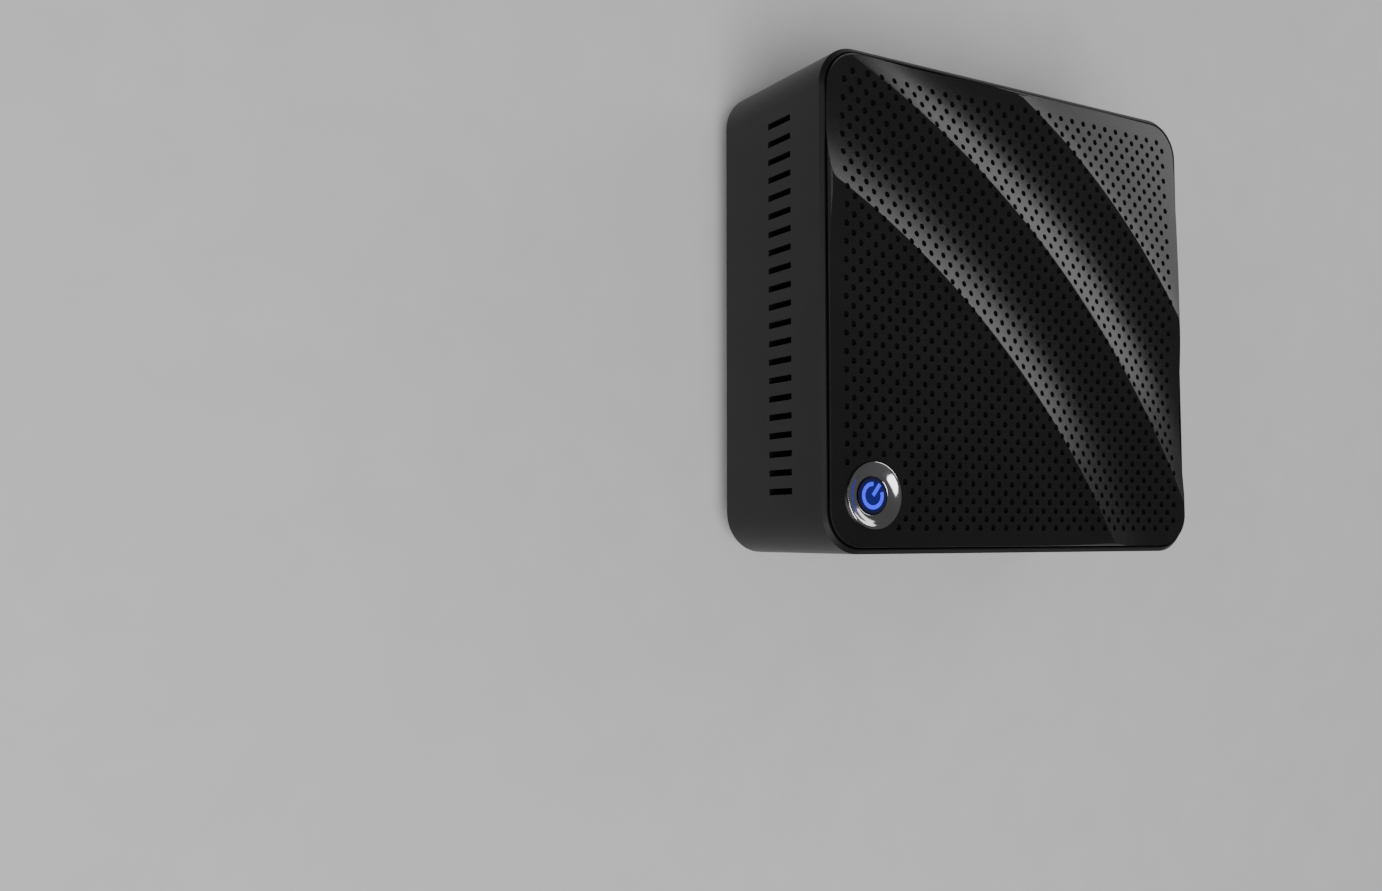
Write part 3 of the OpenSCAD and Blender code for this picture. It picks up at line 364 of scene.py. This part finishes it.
# Name of the record's slot, and what surface() takes for it
SURFACES = {
    "shell_plastic": dict(
        roughness=0.4, grain_mm=0.22, grain_depth=0.006, specular=0.3
    ),
    "cover_plastic": dict(roughness=0.3, grain_mm=0.18, grain_depth=0.002),
    "panel_plastic": dict(tone=(0.008, 0.008, 0.009), roughness=0.2, grain_depth=0.001),
    "black_steel": dict(
        tone=(0.014, 0.014, 0.015), roughness=0.5, grain_mm=0.4, grain_depth=0.015
    ),
    "foot_rubber": dict(
        tone=(0.013, 0.013, 0.013), roughness=0.78, grain_mm=0.3, grain_depth=0.012
    ),
    "screw_steel": dict(tone=GREY_STEEL, roughness=0.3, metallic=1.0, grain_depth=0.003),
    "dark_screw": dict(
        tone=(0.05, 0.05, 0.055), roughness=0.38, metallic=0.8, grain_depth=0.004
    ),
    "brass": dict(
        tone=(0.72, 0.5, 0.2), roughness=0.28, metallic=1.0, stretch=(1, 1, 12)
    ),
    "bright_ring": dict(
        tone=(0.5, 0.5, 0.52),
        roughness=0.11,
        metallic=1.0,
        grain_depth=0.001,
        rough_spread=0.04,
    ),
    "cap_plastic": dict(
        tone=(0.006, 0.006, 0.008), roughness=0.22, grain_depth=0.001, coat=0.3
    ),
    "black_nylon": dict(tone=(0.02, 0.02, 0.022), roughness=0.5),
    "white_nylon": dict(tone=(0.6, 0.6, 0.55), roughness=0.5),
    "silicon": dict(tone=(0.12, 0.13, 0.16), roughness=0.12, grain_depth=0.0005),
    "chip_black": dict(tone=(0.018, 0.018, 0.02), roughness=0.55, grain_mm=0.12),
    "choke_grey": dict(tone=(0.08, 0.08, 0.085), roughness=0.6, grain_mm=0.3),
    "can_aluminium": dict(tone=(0.6, 0.61, 0.64), roughness=0.28, metallic=1.0),
    "sink_aluminium": dict(
        tone=(0.62, 0.63, 0.65), roughness=0.36, metallic=1.0, stretch=(1, 14, 1)
    ),
    "fan_plastic": dict(tone=(0.016, 0.016, 0.018), roughness=0.45),
    "port_steel": dict(
        tone=(0.58, 0.59, 0.61), roughness=0.26, metallic=1.0, stretch=(10, 1, 1)
    ),
    "blue_insert": dict(tone=(0.02, 0.09, 0.5), roughness=0.42),
    "contact_gold": dict(tone=(0.83, 0.58, 0.2), roughness=0.22, metallic=1.0),
    "tray_steel": dict(
        tone=(0.5, 0.51, 0.53), roughness=0.4, metallic=1.0, grain_mm=1.5, spread=0.25
    ),
    "drive_metal": dict(tone=(0.4, 0.41, 0.44), roughness=0.34, metallic=1.0),
    "film_amber": dict(tone=(0.1, 0.06, 0.02), roughness=0.4),
    "lead_grey": dict(tone=(0.05, 0.05, 0.055), roughness=0.55),
    "ribbon_white": dict(tone=(0.7, 0.7, 0.66), roughness=0.4, stretch=(1, 20, 1)),
    "cell_steel": dict(tone=(0.6, 0.61, 0.63), roughness=0.24, metallic=1.0),
    "window_red": dict(tone=(0.03, 0.003, 0.006), roughness=0.1, grain_depth=0.0005),
}


def finish(slot):
    """The material of one of the record's slots, made on first use."""
    name = slot + "_finish"
    made = bpy.data.materials.get(name)
    if made:
        return made
    tones = bpy.context.scene.minipc_tones
    if slot == "symbol_light":
        return lit_symbol(name, tuple(tones.symbol))
    if slot in ("board_green", "package_green"):
        lift = 1.0 if slot == "board_green" else 1.6
        return circuit_board(name, [c * lift for c in tones.board])
    values = dict(SURFACES[slot])
    if slot == "shell_plastic":
        values["tone"] = tuple(tones.shell)
    if slot == "cover_plastic":
        values["tone"] = tuple(tones.cover)
    made = surface(name, **values)
    # The cap plastic also carries a painted glow of the symbol's light around the symbol
    if slot == "cap_plastic":
        add_glow(made, tuple(tones.symbol), 2.2, 4.1, 0.16)
    return made


def paint(node, slot):
    """Gives a CAD node that stays its finish."""
    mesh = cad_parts[node].data
    mesh.materials.clear()
    mesh.materials.append(finish(slot))


# ---------------------------------------------------------------- mesh tools


def move(bm, verts, x=0.0, y=0.0, z=0.0):
    bmesh.ops.translate(bm, verts=verts, vec=Vector((x, y, z)))


def block(bm, low, high):
    """Box between two corners. Returns its vertices."""
    made = bmesh.ops.create_cube(bm, size=1.0)["verts"]
    bmesh.ops.scale(bm, verts=made, vec=Vector(high) - Vector(low))
    bmesh.ops.translate(bm, verts=made, vec=(Vector(high) + Vector(low)) / 2)
    return made


def edges_where(verts, test):
    """Edges among verts whose two ends pass the test."""
    found = {edge for vert in verts for edge in vert.link_edges}
    inside = set(verts)
    return [
        edge
        for edge in found
        if edge.verts[0] in inside and edge.verts[1] in inside and test(edge)
    ]


def soften(bm, edges, width, segments=2):
    bmesh.ops.bevel(
        bm,
        geom=edges,
        offset=width,
        offset_type="OFFSET",
        affect="EDGES",
        segments=segments,
        profile=0.5,
        material=-1,
        clamp_overlap=True,
    )


def upright_edge(edge):
    a, b = edge.verts
    return abs(a.co.x - b.co.x) < 1e-4 and abs(a.co.y - b.co.y) < 1e-4


def edge_above(edge, z):
    return min(vert.co.z for vert in edge.verts) > z - 0.01


def rounded_block(bm, half_x, half_y, radius, z0, z1, segments=14):
    """Block with rounded upright corners, centred on the origin."""
    verts = block(bm, (-half_x, -half_y, z0), (half_x, half_y, z1))
    soften(bm, edges_where(verts, upright_edge), radius, segments)


def lathe(bm, profile, x=0.0, y=0.0, steps=96):
    """Closed ring or disc turned about an upright axis from (radius, height) points."""
    verts = [bm.verts.new((r, 0.0, z)) for r, z in profile]
    pairs = list(zip(verts, verts[1:]))
    if profile[0][0] > 0:
        pairs.append((verts[-1], verts[0]))
    edges = [bm.edges.new(pair) for pair in pairs]
    bmesh.ops.spin(
        bm,
        geom=verts + edges,
        cent=(0, 0, 0),
        axis=(0, 0, 1),
        angle=FULL_TURN,
        steps=steps,
        use_merge=True,
    )
    bmesh.ops.remove_doubles(bm, verts=bm.verts, dist=1e-5)
    bmesh.ops.recalc_face_normals(bm, faces=bm.faces)
    move(bm, bm.verts, x, y)


def to_object(bm, name):
    mesh = bpy.data.meshes.new(name)
    bm.to_mesh(mesh)
    bm.free()
    made = bpy.data.objects.new(name, mesh)
    bpy.context.scene.collection.objects.link(made)
    return made


def combine(target, other, operation="DIFFERENCE"):
    """Cuts, joins or trims target with other, which is used up."""
    change = target.modifiers.new("change", "BOOLEAN")
    change.operation = operation
    change.solver = "MANIFOLD"
    change.object = other
    bpy.context.view_layer.update()
    shaped = target.evaluated_get(bpy.context.evaluated_depsgraph_get())
    mesh = bpy.data.meshes.new_from_object(shaped)
    target.modifiers.clear()
    old = target.data
    target.data = mesh
    bpy.data.meshes.remove(old)
    used = other.data
    bpy.data.objects.remove(other)
    bpy.data.meshes.remove(used)
    if not mesh.polygons:
        raise RuntimeError(f"{target.name} has nothing left after a {operation}")


def install(made, slot, body, replaced=(), crease=30):
    """Turns millimetres into metres, shades, paints and mounts a finished piece."""
    made.data.transform(Matrix.Scale(MM, 4))
    made.data.polygons.foreach_set("use_smooth", [True] * len(made.data.polygons))
    made.data.set_sharp_from_angle(angle=math.radians(crease))
    made.data.materials.clear()
    made.data.materials.append(finish(slot))
    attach(made, body)
    if replaced:
        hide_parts(*replaced)
    return made


# ---------------------------------------------------------------- pieces

# Arcs that the three ridges follow: middle x, middle y, radius, first and last angle
RIDGES = (
    (-142.7, -152.3, 198.3, 25.0, 72.0),
    (-132.2, -142.4, 212.0, 22.0, 75.0),
    (-77.4, -89.0, 162.0, 15.0, 85.0),
)
STEPS_ALONG = 90
OUTER_REACH = 60.0
INNER_REACH = 90.0
# Fall of the surface before the first ridge and past the last, as shares of the depth,
# and how far it takes in millimetres
INNER_DROP, INNER_EASE = 0.55, 9.0
OUTER_DROP, OUTER_EASE = 0.12, 2.5
OUTER_SLOPE = 0.028
FLUTE_SKEW = 0.9


def ridge_point(ridge, share, outward=0.0):
    x, y, radius, first, last = RIDGES[ridge]
    angle = math.radians(first + (last - first) * share)
    reach = radius + outward
    return Vector((x + reach * math.cos(angle), y + reach * math.sin(angle)))


def flute_point(share, across, depth):
    """Point of the fluted surface, share along the ridges.

    Across is 0 on the first ridge and 2 on the last, and goes on past both.
    """
    if across <= 0:
        inward = -across * INNER_REACH
        place = ridge_point(0, share, -inward)
        drop = INNER_DROP * depth * (1 - math.exp(-inward / INNER_EASE))
    elif across >= 2:
        outward = (across - 2) * OUTER_REACH
        place = ridge_point(2, share, outward)
        drop = OUTER_DROP * depth * (1 - math.exp(-outward / OUTER_EASE))
        drop += OUTER_SLOPE * depth * outward
    else:
        ridge = min(int(across), 1)
        part = across - ridge
        place = ridge_point(ridge, share).lerp(ridge_point(ridge + 1, share), part)
        drop = depth * math.sin(math.pi * part**FLUTE_SKEW)
    return Vector((place.x, place.y, RIM_Z - drop))


def across_stops():
    """Where the surface has a row of points, close together beside the ridges."""
    near = [0, 0.015, 0.035, 0.06, 0.09, 0.13, 0.18, 0.24, 0.31, 0.39, 0.48, 0.57]
    between = near + [0.66, 0.75, 0.83, 0.9, 0.96]
    inner = [-1.0, -0.8, -0.6, -0.45, -0.33, -0.24, -0.17, -0.11, -0.07, -0.04, -0.018]
    outer = [0.02, 0.05, 0.09, 0.14, 0.2, 0.28, 0.38, 0.5, 0.65, 0.82, 1.0]
    return inner + between + [1 + s for s in between] + [2.0] + [2 + s for s in outer]


def space_below_flutes(depth, floor_z):
    """Solid that fills all the room below the fluted surface."""
    stops = across_stops()
    bm = bmesh.new()
    bmesh.ops.create_grid(
        bm, x_segments=STEPS_ALONG, y_segments=len(stops) - 1, size=1.0
    )
    for vert in bm.verts:
        share = (vert.co.x + 1) / 2
        row = round((vert.co.y + 1) / 2 * (len(stops) - 1))
        vert.co = flute_point(share, stops[row], depth)
    under = bmesh.ops.extrude_face_region(bm, geom=list(bm.faces))["geom"]
    for item in under:
        if isinstance(item, bmesh.types.BMVert):
            item.co.z = floor_z
    bmesh.ops.recalc_face_normals(bm, faces=bm.faces)
    return to_object(bm, "space_below_flutes")


DIMPLE_TAPER = 0.22 / 0.6
DIMPLE_SIDES = 12
BUTTON_CLEARANCE = 1.6


class SurfaceFinder:
    """Finds the height of the fluted surface with a ray down on the cover."""

    def __init__(self, made):
        self.tree = BVHTree.FromObject(made, bpy.context.evaluated_depsgraph_get())

    def height(self, x, y):
        hit = self.tree.ray_cast(Vector((x, y, RIM_Z + 5)), Vector((0, 0, -1)))
        if hit[0] is None:
            raise RuntimeError(f"no cover under {x:.1f}, {y:.1f}")
        return hit[0].z


def inside_rounded(x, y, half_x, half_y, radius):
    """True if a point is inside a rounded rectangle."""
    dx = max(abs(x) - (half_x - radius), 0)
    dy = max(abs(y) - (half_y - radius), 0)
    return dx * dx + dy * dy <= radius * radius


def dimple_places(sizes, half_x, half_y, radius):
    """Staggered places of the dimples, clear of the border and of the button."""
    pitch = sizes.dimple_pitch / MM
    count = int(half_x / pitch) + 1
    clear = RING_OUTER + BUTTON_CLEARANCE
    for i in range(-count, count + 1):
        for j in range(-count, count + 1):
            x, y = i * pitch, j * pitch
            if (i + j) % 2 or not inside_rounded(x, y, half_x, half_y, radius):
                continue
            if math.hypot(x - BUTTON_X, y - BUTTON_Y) > clear:
                yield x, y


class MINIPC_OT_top_cover(bpy.types.Operator):
    """Make the fluted top cover with its dimples"""

    bl_idname = "minipc.top_cover"
    bl_label = "Top cover"

    def execute(self, context):
        sizes = context.scene.minipc_cover
        half_x, half_y = COVER_HIGH.x, COVER_HIGH.y
        bottom = SHELL_HIGH.z - COVER_SKIRT
        bm = bmesh.new()
        rounded_block(bm, half_x, half_y, COVER_CORNER, bottom, RIM_Z, 18)
        top_edges = edges_where(bm.verts, lambda edge: edge_above(edge, RIM_Z))
        soften(bm, top_edges, sizes.edge_round / MM, 5)
        cover = to_object(bm, "top_cover_dimpled")
        combine(
            cover,
            space_below_flutes(sizes.flute_depth / MM, bottom - 1),
            "INTERSECT",
        )

        found = SurfaceFinder(cover)
        radius, depth = sizes.dimple_radius / MM, sizes.dimple_depth / MM
        above = 0.5  # the cutting cones stand this far out of the surface
        taper = DIMPLE_TAPER * radius
        inset = sizes.border / MM + radius
        bm = bmesh.new()
        for x, y in dimple_places(
            sizes, half_x - inset, half_y - inset, max(COVER_CORNER - inset, 1)
        ):
            z = found.height(x, y)
            middle = Matrix.Translation((x, y, z + (above - depth) / 2))
            bmesh.ops.create_cone(
                bm,
                cap_ends=True,
                segments=DIMPLE_SIDES,
                radius1=radius - taper,
                radius2=radius + taper * above / depth,
                depth=above + depth,
                matrix=middle,
            )
        combine(cover, to_object(bm, "dimples"))

        bm = bmesh.new()
        seat = RING_OUTER + RING_SEAT_GAP
        barrel = seat - RING_BARREL_STEP
        lathe(
            bm,
            [
                (0, bottom - 1),
                (barrel, bottom - 1),
                (barrel, RIM_Z - RING_SEAT_DEPTH),
                (seat, RIM_Z - RING_SEAT_DEPTH),
                (seat, RIM_Z + 1),
                (0, RIM_Z + 1),
            ],
            BUTTON_X,
            BUTTON_Y,
        )
        combine(cover, to_object(bm, "ring_seat"))
        install(cover, "cover_plastic", "case", ["top_cover"], 9)
        return {"FINISHED"}


class MINIPC_OT_power_button(bpy.types.Operator):
    """Make the dished ring and paint the cap and the lit symbol"""

    bl_idname = "minipc.power_button"
    bl_label = "Power button"

    def execute(self, context):
        sizes = context.scene.minipc_button
        outer, inner, top = RING_OUTER, CAP_OPENING, RING_HIGH.z
        barrel = outer - RING_BARREL_STEP
        dish = top - sizes.dish_depth / MM
        bowl_edge = outer - 0.75
        bowl = [
            (
                bowl_edge - (bowl_edge - inner) * share,
                dish + (top - dish) * (1 - share) ** 1.9,
            )
            for share in (0.12, 0.26, 0.4, 0.55, 0.7, 0.85, 0.97)
        ]
        rounded_rim = [
            (outer, top - 0.3),
            (outer - 0.08, top - 0.1),
            (outer - 0.28, top),
            (outer - 0.55, top - 0.02),
            (outer - 0.72, top - 0.1),
        ]
        bm = bmesh.new()
        lathe(
            bm,
            [
                (barrel, COVER_LOW.z + 4.0),
                (barrel, RIM_Z - RING_SEAT_DEPTH),
                (outer, RIM_Z - RING_SEAT_DEPTH),
                *rounded_rim,
                *bowl,
                (inner, dish - 0.06),
                (inner, dish - 0.9),
            ],
            BUTTON_X,
            BUTTON_Y,
            128,
        )
        ring = to_object(bm, "button_ring_dished")
        install(ring, "bright_ring", "case", ["button_ring"], 35)

        paint("power_button", "cap_plastic")
        paint("button_symbol", "symbol_light")
        return {"FINISHED"}


CASE_FINISHES = {
    "body_shell": "shell_plastic",
    "front_panel": "panel_plastic",
    "rear_panel": "panel_plastic",
    "infrared_window": "window_red",
}


class MINIPC_OT_body(bpy.types.Operator):
    """Finish the body ring and the panels"""

    bl_idname = "minipc.body"
    bl_label = "Body and panels"

    def execute(self, context):
        for node, slot in CASE_FINISHES.items():
            paint(node, slot)
        return {"FINISHED"}


INNER_FINISHES = {
    "bottom_plate": "black_steel",
    "rubber_feet": "foot_rubber",
    "bottom_screws": "dark_screw",
    "corner_inserts": "brass",
    "bracket_bushings": "brass",
    "lock_plate": "tray_steel",
    "switch_body": "black_nylon",
    "switch_plunger": "white_nylon",
    "button_board": "board_green",
    "main_board": "board_green",
    "board_screws": "screw_steel",
    "processor_base": "package_green",
    "processor_die": "silicon",
    "heat_sink": "sink_aluminium",
    "heat_sink_screws": "screw_steel",
    "fan_frame": "fan_plastic",
    "fan_rotor": "fan_plastic",
    "fan_screws": "screw_steel",
    "board_chips": "chip_black",
    "board_chokes": "choke_grey",
    "board_capacitors": "can_aluminium",
    "memory_socket": "black_nylon",
    "memory_module": "board_green",
    "memory_chips": "chip_black",
    "storage_socket": "black_nylon",
    "storage_card": "board_green",
    "storage_chips": "chip_black",
    "wireless_socket": "black_nylon",
    "wireless_card": "board_green",
    "card_screws": "screw_steel",
    "antennas": "film_amber",
    "antenna_leads": "lead_grey",
    "coin_cell": "cell_steel",
    "cell_holder": "black_nylon",
    "drive_tray": "tray_steel",
    "drive_case": "drive_metal",
    "drive_screws": "screw_steel",
    "drive_plug": "black_nylon",
    "drive_lead": "ribbon_white",
    "drive_header": "white_nylon",
    "front_usb_shells": "port_steel",
    "front_usb_tongues": "blue_insert",
    "rear_usb_shell": "port_steel",
    "rear_usb_tongues": "blue_insert",
    "video_shells": "port_steel",
    "video_tongues": "black_nylon",
    "lan_shell": "port_steel",
    "lan_contacts": "contact_gold",
    "power_inlet": "black_nylon",
    "inlet_pin": "screw_steel",
    "audio_socket": "black_nylon",
}


class MINIPC_OT_inside(bpy.types.Operator):
    """Finish everything that the body holds"""

    bl_idname = "minipc.inside"
    bl_label = "Inside"

    def execute(self, context):
        for node, slot in INNER_FINISHES.items():
            paint(node, slot)
        return {"FINISHED"}


COVER_MIDDLE = (0, 0, 0.04)
CAMERA_PLACE = (-0.22006, -0.05083, 0.26306)
CAMERA_RIGHT = Vector((0.86052, 0.0, 0.50941))
CAMERA_FORWARD = Vector((0.50826, 0.06709, -0.85858))


def area_light(name, place, aim, size, size_y, power, tone=(1, 1, 1)):
    light = bpy.data.lights.new(name, "AREA")
    light.shape = "RECTANGLE"
    light.size = size
    light.size_y = size_y
    light.energy = power
    light.color = tone
    made = bpy.data.objects.new(name, light)
    made.location = place
    made.rotation_mode = "QUATERNION"
    made.rotation_quaternion = (Vector(aim) - Vector(place)).to_track_quat("-Z", "Y")
    bpy.context.scene.collection.objects.link(made)


def around(azimuth, elevation, distance):
    """Place at a compass angle from +X, an angle above the floor and a distance."""
    a, e = math.radians(azimuth), math.radians(elevation)
    flat = distance * math.cos(e)
    return (flat * math.cos(a), flat * math.sin(a), distance * math.sin(e))


class MINIPC_OT_stage(bpy.types.Operator):
    """Make the floor, the lights and the camera"""

    bl_idname = "minipc.stage"
    bl_label = "Stage"

    def execute(self, context):
        sizes = context.scene.minipc_stage
        bm = bmesh.new()
        bmesh.ops.create_circle(
            bm, cap_ends=True, segments=96, radius=sizes.floor_radius
        )
        floor = to_object(bm, "floor")
        floor.data.materials.append(
            surface(
                "floor_paint",
                tuple(context.scene.minipc_tones.floor),
                0.7,
                grain_mm=3,
                spread=0.015,
            )
        )

        world = bpy.data.worlds.new("sky")
        context.scene.world = world
        world.use_nodes = True
        background = world.node_tree.nodes["Background"]
        background.inputs["Color"].default_value = (1, 1, 1, 1)
        background.inputs["Strength"].default_value = sizes.sky

        area_light("key", around(28, 24, 0.8), COVER_MIDDLE, 0.44, 0.32, sizes.key_power)
        area_light("fill", around(235, 55, 1.6), (0, 0, 0), 1.2, 1.2, sizes.fill_power)
        area_light("side", around(175, 30, 0.9), COVER_MIDDLE, 0.5, 0.16, sizes.side_power)

        lens = bpy.data.cameras.new("camera")
        lens.sensor_width = 36
        lens.lens = sizes.lens
        lens.clip_start, lens.clip_end = 0.01, 50
        camera = bpy.data.objects.new("camera", lens)
        up = CAMERA_RIGHT.cross(CAMERA_FORWARD).normalized()
        turn = Matrix((CAMERA_RIGHT, up, -CAMERA_FORWARD)).transposed()
        camera.rotation_mode = "QUATERNION"
        camera.rotation_quaternion = turn.to_quaternion()
        camera.location = CAMERA_PLACE
        context.scene.collection.objects.link(camera)
        context.scene.camera = camera
        return {"FINISHED"}


class MINIPC_PT_sidebar(bpy.types.Panel):
    bl_idname = "MINIPC_PT_sidebar"
    bl_label = "Mini computer"
    bl_space_type = "VIEW_3D"
    bl_region_type = "UI"
    bl_category = "Mini computer"

    def draw(self, context):
        scene = context.scene
        for group in GROUPS:
            box = self.layout.box()
            values = getattr(scene, group)
            for key in values.__annotations__:
                box.prop(values, key)
        for operator in OPERATORS:
            self.layout.operator(operator.bl_idname)


GROUPS = {
    "minipc_cover": CoverSizes,
    "minipc_button": ButtonSizes,
    "minipc_tones": Tones,
    "minipc_stage": StageSizes,
}

OPERATORS = (
    MINIPC_OT_body,
    MINIPC_OT_top_cover,
    MINIPC_OT_power_button,
    MINIPC_OT_inside,
    MINIPC_OT_stage,
)


def register():
    for kind in (*GROUPS.values(), *OPERATORS, MINIPC_PT_sidebar):
        bpy.utils.register_class(kind)
    for name, kind in GROUPS.items():
        setattr(bpy.types.Scene, name, PointerProperty(type=kind))


def unregister():
    for name in GROUPS:
        delattr(bpy.types.Scene, name)
    for kind in (MINIPC_PT_sidebar, *reversed(OPERATORS), *GROUPS.values()):
        bpy.utils.unregister_class(kind)


def clear_start_scene():
    for name in ("Cube", "Light", "Camera"):
        made = bpy.data.objects.get(name)
        if made:
            bpy.data.objects.remove(made)


def main():
    clear_start_scene()
    register()
    for operator in OPERATORS:
        group, name = operator.bl_idname.split(".")
        getattr(getattr(bpy.ops, group), name)()


if __name__ == "__main__":
    main()
